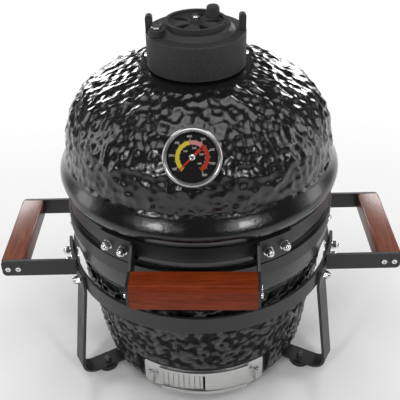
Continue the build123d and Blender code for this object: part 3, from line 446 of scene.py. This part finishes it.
def turned(name, profile, segments, sweep=2 * pi):
    """Spins a closed outline of (radius, height) points round the Z axis."""
    rest()
    first = profile[0]
    bpy.ops.mesh.primitive_plane_add(size=0.001, location=(first[0], 0, first[1]))
    piece = named(name)
    settle(piece)
    bpy.ops.object.mode_set(mode="EDIT")
    bpy.ops.mesh.select_mode(type="VERT")
    bpy.ops.mesh.select_all(action="SELECT")
    bpy.ops.mesh.merge(type="CENTER")
    for here, there in zip(profile, profile[1:] + profile[:1]):
        step = (there[0] - here[0], 0, there[1] - here[1])
        bpy.ops.mesh.extrude_region_move(TRANSFORM_OT_translate={"value": step})
    bpy.ops.mesh.select_all(action="SELECT")
    bpy.ops.mesh.remove_doubles(threshold=1e-6)
    whole = sweep > 2 * pi - 0.001
    if not whole:
        bpy.ops.mesh.edge_face_add()
    bpy.ops.mesh.spin(steps=segments, angle=sweep, center=(0, 0, 0), axis=(0, 0, -1))
    bpy.ops.mesh.select_all(action="SELECT")
    bpy.ops.mesh.remove_doubles(threshold=1e-6)
    bpy.ops.mesh.normals_make_consistent(inside=False)
    bpy.ops.object.mode_set(mode="OBJECT")
    return piece


def even(points, step):
    """The same curve with points at even distances, its ends kept."""
    marks = [0.0]
    for a, b in zip(points, points[1:]):
        marks.append(marks[-1] + hypot(b[0] - a[0], b[1] - a[1]))
    count = max(1, round(marks[-1] / step))
    out, at = [], 0
    for i in range(count + 1):
        want = marks[-1] * i / count
        while at < len(marks) - 2 and marks[at + 1] < want:
            at += 1
        part = (want - marks[at]) / (marks[at + 1] - marks[at])
        a, b = points[at], points[at + 1]
        out.append((a[0] + (b[0] - a[0]) * part, a[1] + (b[1] - a[1]) * part))
    return out


def flowing(points, parts=12):
    """A smooth curve through (radius, height) points."""
    ends = [points[0]] + points + [points[-1]]
    out = []
    for a, b, c, d in zip(ends, ends[1:], ends[2:], ends[3:]):
        for i in range(parts):
            t = i / parts
            weights = (-t + 2 * t**2 - t**3, 2 - 5 * t**2 + 3 * t**3, t + 4 * t**2 - 3 * t**3, t**3 - t**2)
            out.append(tuple(sum(w * p[k] for w, p in zip(weights, (a, b, c, d))) / 2 for k in (0, 1)))
    return out + [points[-1]]


def hammer(piece, weight, layers):
    """Presses dimples into a piece where weight(place) says so, and notes how far each point moved."""
    before = [vertex.co.copy() for vertex in piece.data.vertices]
    group = piece.vertex_groups.new(name="hammered")
    for vertex in piece.data.vertices:
        amount = weight(vertex.co)
        if amount > 0:
            group.add([vertex.index], amount, "REPLACE")
    for name, kind, scale, strength, middle, contrast in layers:
        texture = bpy.data.textures.new(f"{piece.name}_{name}", type=kind)
        texture.noise_scale = scale
        texture.contrast = contrast
        if kind == "VORONOI":
            texture.distance_metric = "DISTANCE_SQUARED"
        modifier = piece.modifiers.new(name, "DISPLACE")
        modifier.texture = texture
        modifier.texture_coords = "LOCAL"
        modifier.vertex_group = "hammered"
        modifier.strength = strength
        modifier.mid_level = middle
        apply_modifier(piece, name)
    modifier = piece.modifiers.new("soften", "SMOOTH")
    modifier.factor = 0.5
    modifier.iterations = 2
    modifier.vertex_group = "hammered"
    apply_modifier(piece, "soften")
    deepest = sum(layer[3] * layer[4] for layer in layers)
    pressed = piece.data.attributes.new("pressed", "FLOAT", "POINT")
    moved = [(vertex.co - place).length / deepest for vertex, place in zip(piece.data.vertices, before)]
    pressed.data.foreach_set("value", [min(amount, 1.0) for amount in moved])


def bar(name, low, high, turn, chamfer, along, beveled):
    """A wooden bar with a chamfer on the chosen long edges and all edges eased."""
    rest()
    size = high - low
    bpy.ops.mesh.primitive_cube_add(size=1, location=(low + high) / 2)
    piece = named(name)
    piece.scale = size
    settle(piece)
    choose(piece, lambda centre, run: abs(run.normalized()[along]) > 0.9 and beveled(centre), "EDGE")
    bpy.ops.mesh.bevel(offset=chamfer, segments=1, affect="EDGES")
    choose(piece, lambda centre, run: True, "EDGE")
    bpy.ops.mesh.bevel(offset=0.0007, segments=3, affect="EDGES")
    bpy.ops.object.mode_set(mode="OBJECT")
    piece.matrix_world = Matrix.Rotation(turn, 4, "Z")
    settle(piece)
    smooth(piece, 30)
    return piece


def dress(piece, material, body, slot, *nodes):
    """Finish, body and the CAD nodes that the piece stands for; the record slot argument is not used."""
    piece.data.materials.clear()
    piece.data.materials.append(material)
    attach(piece, body)
    if nodes:
        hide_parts(*nodes)


def material(name):
    """The finish made here: the frame has plain materials of the same names."""
    return FINISHES[name]


# ---------------------------------------------------------------- thermometer's place
def dial_frame(props, ceramic):
    """Matrix from the dial's own axes to the grill's: Z out of the face, X along it."""
    up = (1 - (props.seat_r / ceramic.lid_r) ** ceramic.dome_power) ** (1 / ceramic.dome_power)
    lean_r = (props.seat_r / ceramic.lid_r) ** (ceramic.dome_power - 1) / ceramic.lid_r
    lean_z = up ** (ceramic.dome_power - 1) / ceramic.dome_h
    out = Vector((lean_r * sin(LID_YAW), -lean_r * cos(LID_YAW), lean_z)).normalized()
    across = Vector((cos(LID_YAW), sin(LID_YAW), 0))
    upward = out.cross(across)
    seat_z = ceramic.dome_z + ceramic.dome_h * up
    seat = Vector((props.seat_r * sin(LID_YAW), -props.seat_r * cos(LID_YAW), seat_z))
    return Matrix.Translation(seat) @ Matrix((across, upward, out)).transposed().to_4x4()


# ---------------------------------------------------------------- operators
class KAMADO_OT_finishes(bpy.types.Operator):
    """Make the finishes and give them to the CAD parts that stay as they are"""

    bl_idname = "kamado.finishes"
    bl_label = "Finishes"

    def execute(self, context):
        handles = context.scene.kamado_handles
        place = dial_frame(context.scene.kamado_dial, context.scene.kamado_ceramic)
        dial = context.scene.kamado_dial
        glaze("lid_glaze", 0.10, 0.24, 420.0, 0.25)
        pitted_glaze("pot_glaze")
        powder_coat("black_coat")
        sandy_iron("cap_iron", 0.010, 0.042, 0.52)
        sandy_iron("grate_iron", 0.02, 0.06, 0.6)
        brushed("door_steel", (0.74, 0.74, 0.73), 14.0, 1500.0, 0.22)
        brushed("rod_steel", (0.66, 0.66, 0.64), 300.0, 300.0, 0.25)
        turned_steel("bezel_steel", place.translation, place.inverted().to_euler())
        bright_zinc("zinc")
        front_run, front_turn = (9, 120, 120), (0, 0, -LID_YAW)
        side_run, side_turn = (120, 9, 120), (0, 0, 0)
        lacquered_wood("wood_front", handles.wood_dark, handles.wood_light, front_run, front_turn, 0.15, 0.08)
        lacquered_wood("wood_side", handles.side_dark, handles.side_light, side_run, side_turn, 0.28, 0.06)
        felt("felt")
        moulded_rubber("rubber")
        fire_clay("fire_clay")
        paint("dial_black", (0.004, 0.004, 0.0045), 0.5)
        paint("dial_white", (0.82, 0.82, 0.80), 0.45)
        paint("dial_yellow", dial.yellow, 0.4)
        paint("dial_pink", dial.pink, 0.4)
        paint("dial_red", dial.red, 0.4)
        lens_glass("lens")
        slots = {
            "black_steel": "black_coat", "cap_iron": "cap_iron", "grate_iron": "grate_iron",
            "grate_steel": "rod_steel", "stainless": "door_steel", "zinc": "zinc", "felt": "felt",
            "rubber": "rubber", "fire_clay": "fire_clay", "glazed_black": "pot_glaze",
            "dial_face": "dial_black", "pointer_red": "dial_red", "lens": "lens",
            "wood_front": "wood_front", "wood_side": "wood_side",
        }
        for part in frame["record"]["subparts"]:
            node = frame["nodes"][part["node"]]
            for slot in node.material_slots:
                slot.material = material(slots[part["material_slot"]])
        return {"FINISHED"}


class KAMADO_OT_lid(bpy.types.Operator):
    """Turn the domed lid and hammer its glaze"""

    bl_idname = "kamado.lid"
    bl_label = "Lid"

    def execute(self, context):
        size = context.scene.kamado_ceramic
        low_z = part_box("lid_shell")[0][2]
        top_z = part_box("lid_shell")[1][2]
        band_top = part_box("lid_band")[1][2] + 0.0025

        def rolled(z):
            return size.lid_r + size.lid_bulge * exp(-(((z - size.lid_bulge_z) / size.lid_bulge_w) ** 2))

        def dome(r, h, from_r):
            last = (1 - (from_r / r) ** size.dome_power) ** (1 / size.dome_power)
            ups = [last * sin(radians(i)) for i in range(1, 91)]
            power = size.dome_power
            return [(r * (1 - up**power) ** (1 / power), size.dome_z + h * up) for up in ups]

        steps = [band_top + (size.dome_z - band_top) * i / 24 for i in range(25)]
        side = [(rolled(z), z) for z in steps] + dome(size.lid_r, size.dome_h, size.neck_r + 0.003)
        inside = [(size.lid_r - size.wall, size.dome_z)]
        inside += dome(size.lid_r - size.wall, size.dome_h - size.wall, size.bore_r)
        lip_r, neck_r = size.lip_r, size.neck_r
        lip = [(lip_r - 0.002, low_z), (lip_r - 0.0006, low_z + 0.0006), (lip_r, low_z + 0.002)]
        outline = lip + [(lip_r, band_top - 0.001)] + even(side, 0.0024)
        outline += [(neck_r, side[-1][1] + 0.001), (neck_r, top_z - 0.001), (neck_r - 0.001, top_z)]
        outline += [(size.bore_r, top_z)] + even(inside, 0.009)[::-1]
        outline += [(lip_r - size.wall, low_z + 0.002), (lip_r - size.wall + 0.002, low_z)]
        lid = turned("lid_ceramic", outline, size.segments)

        def weight(co):
            reach = hypot(co.x, co.y)
            if reach < size.lid_r - size.wall * 0.8 and co.z < size.dome_z + 0.02:
                return 0.0
            inner = 1 - (reach / (size.lid_r - size.wall * 0.5)) ** size.dome_power
            floor = size.dome_z + (size.dome_h - size.wall * 0.5) * max(inner, 0.0) ** (1 / size.dome_power)
            if co.z < floor:
                return 0.0
            rise = min(max((co.z - 0.332) / 0.012, 0.0), 1.0)
            collar = min(max((reach - 0.071) / 0.008, 0.0), 1.0)
            return rise * collar

        hammer(lid, weight, (
            ("dimples", "VORONOI", size.dimple, size.dimple_depth, 0.30, 1.0),
            ("waves", "CLOUDS", size.dimple * 0.9, size.dimple_depth * 0.5, 0.5, 1.0),
        ))
        smooth(lid, 40)
        dress(lid, material("lid_glaze"), "lid", "glazed_black", "lid_shell")
        return {"FINISHED"}


class KAMADO_OT_pot(bpy.types.Operator):
    """Turn the pot, press its glaze and cut the seat and opening for the draft door"""

    bl_idname = "kamado.pot"
    bl_label = "Pot"

    def execute(self, context):
        size = context.scene.kamado_ceramic
        belly = flowing([
            (0.141, 0.012), (0.147, 0.021), (0.1515, 0.040), (0.1555, 0.066),
            (0.160, 0.102), (0.1675, 0.148), (0.173, 0.206),
        ])
        outline = [(0.001, 0.012)] + even(belly, 0.0025)
        outline += flowing([(0.173, 0.207), (0.1745, 0.2135), (0.1772, 0.2175), (0.178, 0.222)], 4)
        outline += [(0.178, 0.2405), (0.178, 0.262), (0.1774, 0.2634), (0.176, 0.264), (0.160, 0.264)]
        outline += [(0.1586, 0.2634), (0.158, 0.262), (0.158, 0.216), (0.153, 0.202), (0.140, 0.102)]
        outline += [(0.134, 0.062), (0.123, 0.025), (0.001, 0.025)]
        pot = turned("pot_ceramic", outline, size.segments - 60)

        def weight(co):
            reach = hypot(co.x, co.y)
            skin = 0.1385 if co.z < 0.062 else 0.147 if co.z < 0.1 else 0.1565
            if reach < skin:
                return 0.0
            return min(max((co.z - 0.014) / 0.008, 0.0), 1.0) * min(max((0.208 - co.z) / 0.006, 0.0), 1.0)

        hammer(pot, weight, (
            ("pits", "CLOUDS", size.dimple * 0.8, size.pit_depth, 1.0, 4.0),
            ("waves", "CLOUDS", size.dimple * 1.7, size.pit_depth * 0.3, 0.5, 1.0),
        ))
        cutters = []
        shapes = (("seat", 0.145, 0.190, 0.005, 0.072, 37.5), ("draft", 0.090, 0.155, 0.027, 0.047, 11.8))
        for name, inner, outer, low, high, half in shapes:
            ring = [(inner, low), (outer, low), (outer, high), (inner, high)]
            cutter = turned(f"cut_{name}", ring, round(2 * half), radians(2 * half))
            placed(cutter, Matrix.Rotation(radians(-90 - half), 4, "Z"))
            cutters.append(cutter)
        for cutter in cutters:
            modifier = pot.modifiers.new("cut", "BOOLEAN")
            modifier.operation = "DIFFERENCE"
            modifier.solver = "EXACT"
            modifier.object = cutter
            apply_modifier(pot, "cut")
            bpy.data.objects.remove(cutter)
        smooth(pot, 40)
        dress(pot, material("pot_glaze"), "base", "glazed_black", "base_shell")
        return {"FINISHED"}


class KAMADO_OT_handles(bpy.types.Operator):
    """Shape the three wooden bars"""

    bl_idname = "kamado.handles"
    bl_label = "Wooden bars"

    def execute(self, context):
        size = context.scene.kamado_handles
        low = Vector((-size.front_half, size.front_y, size.front_z))
        high = low + Vector((2 * size.front_half, size.front_deep, size.front_high))
        middle = (low + high) / 2
        front = bar("front_bar", low, high, LID_YAW, size.front_chamfer, 0,
                    lambda centre: centre.y < middle.y and centre.z > middle.z)
        dress(front, material("wood_front"), "lid", "wood_front", "front_grip")
        for side in ("left", "right"):
            low, high = (Vector(corner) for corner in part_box(f"side_grip_{side}"))
            piece = bar(f"side_bar_{side}", low, high, 0.0, size.side_chamfer, 1, lambda centre: True)
            dress(piece, material("wood_side"), "base", "wood_side", f"side_grip_{side}")
        return {"FINISHED"}


class KAMADO_OT_dial(bpy.types.Operator):
    """Build the thermometer's bezel, scale, numbers and pointer"""

    bl_idname = "kamado.dial"
    bl_label = "Thermometer"

    def marks(self, name, place, low, high, count, width, first, last):
        """Radial marks between two radii, spread over the scale's sweep."""
        marks = []
        for i in range(count):
            angle = radians(first + (last - first) * i / (count - 1))
            rest()
            bpy.ops.mesh.primitive_cube_add(size=1, location=((low + high) / 2, 0, 0))
            mark = named(f"{name}_{i}")
            mark.scale = (high - low, width, 0.0002)
            settle(mark)
            marks.append(placed(mark, Matrix.Rotation(angle, 4, "Z")))
        only(*marks)
        bpy.ops.object.join()
        return placed(named(name), place)

    def numbers(self, name, place, values, reach, height, first, last):
        made = []
        for i, value in enumerate(values):
            angle = radians(first + (last - first) * i / (len(values) - 1))
            rest()
            bpy.ops.object.text_add()
            text = bpy.context.object
            text.data.body = str(value)
            text.data.size = height
            text.data.align_x = "CENTER"
            text.data.align_y = "CENTER"
            text.data.extrude = 0.0001
            text.data.resolution_u = 3
            only(text)
            bpy.ops.object.convert(target="MESH")
            made.append(placed(text, Matrix.Translation((reach * cos(angle), reach * sin(angle), 0))))
        only(*made)
        bpy.ops.object.join()
        return placed(named(name), place)

    def execute(self, context):
        size = context.scene.kamado_dial
        place = dial_frame(size, context.scene.kamado_ceramic)
        level = place @ Matrix.Translation((0, 0, 0.0091))
        rim, face = size.bezel_r, size.face_r
        outline = [
            (rim - 0.0016, 0.003), (rim - 0.0003, 0.003), (rim, 0.0034), (rim, 0.0098),
            (rim - 0.0004, 0.0112), (rim - 0.0014, 0.0124), (rim - 0.0028, 0.0130), (rim - 0.0042, 0.0129),
            (face + 0.0006, 0.0122), (face, 0.0114), (face, 0.0091), (rim - 0.0016, 0.0091),
        ]
        bezel = placed(turned("bezel", outline, 120), place)
        smooth(bezel, 40)
        dress(bezel, material("bezel_steel"), "lid", "stainless", "gauge_bezel")

        disc = [
            (0.0011, -0.0008), (0.0308, -0.0008), (0.0308, 0.0), (face - 0.0002, 0.0),
            (face - 0.0006, 0.0004), (face - 0.0016, 0.0004), (face - 0.0020, 0.0), (0.0011, 0.0),
        ]
        dial = placed(turned("dial_face", disc, 96), level)
        smooth(dial, 30)
        dress(dial, material("dial_black"), "lid", "dial_face", "gauge_dial")

        arcs = (("yellow", 232, 101), ("pink", 100, 53), ("red", 52, -56))
        for shade, start, end in arcs:
            band = [(size.arc_in, 0.0), (size.arc_out, 0.0), (size.arc_out, 0.00025), (size.arc_in, 0.00025)]
            arc = turned(f"scale_{shade}", band, round((start - end) / 3), radians(start - end))
            placed(arc, level @ Matrix.Rotation(radians(end), 4, "Z"))
            dress(arc, material(f"dial_{shade}"), "lid", "dial_face")

        pieces = (
            self.marks("ticks_outer", level, 0.0187, 0.0198, 16, 0.00045, 232, -56),
            self.marks("ticks_long", level, 0.0187, 0.0204, 8, 0.0006, 213, -55),
            self.marks("ticks_inner", level, 0.0130, 0.0140, 17, 0.0004, 232, -56),
            self.numbers("numbers_outer", level, range(100, 900, 100), 0.0230, 0.0036, 213, -55),
            self.numbers("numbers_inner", level, range(100, 500, 100), 0.0102, 0.0031, 139, -41),
        )
        for piece in pieces:
            dress(piece, material("dial_white"), "lid", "dial_face")

        rest()
        bpy.ops.mesh.primitive_cube_add(size=1, location=(0.0045, 0, 0.0012))
        pointer = named("pointer")
        pointer.scale = (0.0340, 0.0040, 0.0007)
        settle(pointer)
        choose(pointer, lambda centre, normal: normal.x > 0.9)
        bpy.ops.transform.resize(value=(1, 0.16, 1))
        choose(pointer, lambda centre, normal: normal.x < -0.9)
        bpy.ops.mesh.inset(thickness=0.0003)
        bpy.ops.object.mode_set(mode="OBJECT")
        placed(pointer, level @ Matrix.Rotation(radians(225), 4, "Z"))
        dress(pointer, material("dial_red"), "pointer", "pointer_red", "gauge_pointer")
        dome = [
            (0.0, 0.0016), (0.0032, 0.0016), (0.0034, 0.0018), (0.0031, 0.0022), (0.0018, 0.0027), (0.0, 0.0028),
        ]
        hub = placed(turned("pointer_hub", dome, 40), level)
        smooth(hub, 40)
        dress(hub, material("zinc"), "pointer", "pointer_red")
        return {"FINISHED"}


class KAMADO_OT_stage(bpy.types.Operator):
    """Lay a pale floor, set soft studio lights and place the camera"""

    bl_idname = "kamado.stage"
    bl_label = "Stage"

    def light(self, name, place, aim, wide, high, power):
        lamp = bpy.data.lights.new(name, "AREA")
        lamp.shape = "RECTANGLE"
        lamp.size, lamp.size_y = wide, high
        lamp.energy = power
        item = bpy.data.objects.new(name, lamp)
        bpy.context.scene.collection.objects.link(item)
        item.location = place
        item.rotation_euler = (Vector(aim) - Vector(place)).to_track_quat("-Z", "Y").to_euler()
        item.visible_camera = False

    def execute(self, context):
        size = context.scene.kamado_stage
        rest()
        bpy.ops.mesh.primitive_plane_add(size=size.floor, location=(0, 0, CAD_BOX[0][2]))
        floor = named("floor")
        settle(floor)
        ground = Finish("floor_white")
        cloud = ground.noise(0.8, 2.0)
        ground.put(base_color=ground.mix(cloud, (0.90, 0.90, 0.90), (0.94, 0.94, 0.94)))
        ground.put(roughness=cloud * 0.1 + 0.8)
        floor.data.materials.append(ground.material)

        world = bpy.data.worlds.new("studio")
        context.scene.world = world
        world.use_nodes = True
        sky = world.node_tree.nodes["Background"].inputs
        sky["Color"].default_value = (1, 1, 1, 1)
        sky["Strength"].default_value = size.sky
        context.scene.view_settings.view_transform = "Standard"

        middle = (0, 0, 0.3)
        self.light("overhead", (0.0, -0.2, 2.4), middle, 2.0, 1.6, 24)
        for side, name in ((-1, "left"), (1, "right")):
            self.light(f"front_{name}", (side * 0.95, -1.45, 1.0), middle, 0.3, 0.3, 7)
            self.light(f"strip_{name}", (side * 1.7, 0.1, 0.9), middle, 0.5, 1.6, 8)
            self.light(f"back_{name}", (side * 0.9, 1.7, 0.75), middle, 0.6, 0.5, 13)

        camera = bpy.data.cameras.new("camera")
        camera.lens = size.lens
        camera.sensor_width = 36.0
        camera.shift_x, camera.shift_y = -0.0215, -0.0174
        yaw, roll = radians(-0.31), radians(-1.0)
        back = Vector((sin(yaw) * cos(size.elevation), -cos(yaw) * cos(size.elevation), sin(size.elevation)))
        across = Vector((0, 0, 1)).cross(back).normalized()
        upward = back.cross(across)
        turned_x = across * cos(roll) + upward * sin(roll)
        turned_y = upward * cos(roll) - across * sin(roll)
        item = bpy.data.objects.new("camera", camera)
        context.scene.collection.objects.link(item)
        turn = Matrix((turned_x, turned_y, back)).transposed().to_4x4()
        item.matrix_world = Matrix.Translation((0.0075, -0.7807, 0.7877)) @ turn
        context.scene.camera = item
        return {"FINISHED"}


class KAMADO_PT_panel(bpy.types.Panel):
    """Lists what builds the grill"""

    bl_label = "Kamado grill"
    bl_space_type = "VIEW_3D"
    bl_region_type = "UI"
    bl_category = "Kamado"

    def draw(self, context):
        for operator in OPERATORS:
            self.layout.operator(operator.bl_idname)
        for owner in GROUPS:
            for key in GROUPS[owner].__annotations__:
                self.layout.prop(getattr(context.scene, owner), key)


GROUPS = {
    "kamado_ceramic": KamadoCeramic,
    "kamado_handles": KamadoHandles,
    "kamado_dial": KamadoDial,
    "kamado_stage": KamadoStage,
}
OPERATORS = (
    KAMADO_OT_stage, KAMADO_OT_finishes, KAMADO_OT_lid, KAMADO_OT_pot, KAMADO_OT_handles, KAMADO_OT_dial,
)


def register():
    for owner, group in GROUPS.items():
        bpy.utils.register_class(group)
        setattr(bpy.types.Scene, owner, PointerProperty(type=group))
    for item in (*OPERATORS, KAMADO_PT_panel):
        bpy.utils.register_class(item)


def unregister():
    for item in reversed((*OPERATORS, KAMADO_PT_panel)):
        bpy.utils.unregister_class(item)
    for owner, group in reversed(GROUPS.items()):
        delattr(bpy.types.Scene, owner)
        bpy.utils.unregister_class(group)


def main():
    register()
    bpy.ops.kamado.stage()
    bpy.ops.kamado.finishes()
    bpy.ops.kamado.lid()
    bpy.ops.kamado.pot()
    bpy.ops.kamado.handles()
    bpy.ops.kamado.dial()


if __name__ == "__main__":
    main()
